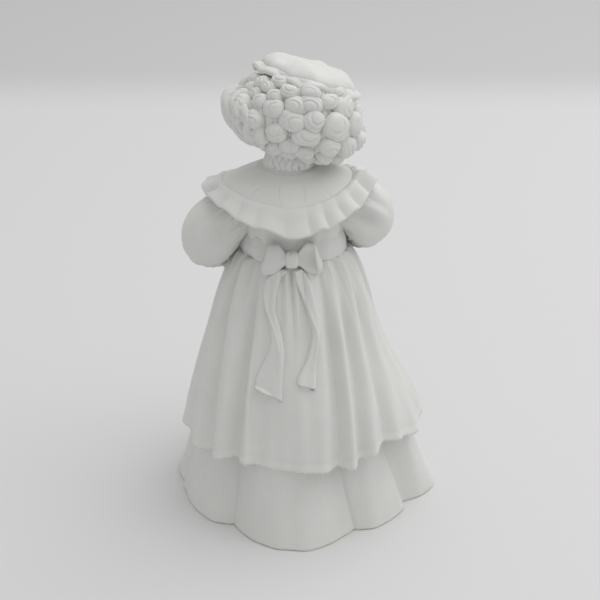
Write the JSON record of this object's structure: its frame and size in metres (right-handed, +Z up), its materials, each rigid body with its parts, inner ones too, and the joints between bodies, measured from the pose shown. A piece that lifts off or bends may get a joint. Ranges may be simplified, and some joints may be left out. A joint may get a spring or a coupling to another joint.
{
  "type": "porcelain figurine",
  "caption": "Unglazed porcelain figurine of a small girl in a tiered dress with a frilled collar, puffed sleeves, a sash bow, curls and a frilled cap, standing on her hollow skirt.",
  "frame": {"origin": "centre of the dress hem's flat foot, on the surface that the figurine stands on", "axes": "+Z up along the figure's height, -Y the way the face looks, +Y the back with the sash bow, +X the figure's left"},
  "size_m": [0.0859, 0.0844, 0.1468],
  "materials": {
    "bisque": "unglazed matt bisque porcelain, near white"
  },
  "bodies": {
    "root": {"dress_skirt": "bisque", "overskirt": "bisque", "bodice": "bisque", "sash": "bisque", "bow_knot": "bisque", "bow_loop_left": "bisque", "bow_loop_right": "bisque", "ribbon_tail_left": "bisque", "ribbon_tail_right": "bisque", "collar_yoke": "bisque", "collar_ruffle": "bisque", "sleeve_left": "bisque", "sleeve_right": "bisque", "cuff_left": "bisque", "cuff_right": "bisque", "forearm_left": "bisque", "forearm_right": "bisque", "hand_left": "bisque", "hand_right": "bisque", "head": "bisque", "hair_base": "bisque", "hair_curls": "bisque", "side_locks_left": "bisque", "side_locks_right": "bisque", "fringe_curls": "bisque", "nape_locks": "bisque", "cap_crown": "bisque", "cap_band": "bisque", "cap_frill": "bisque"}
  },
  "joints": []
}
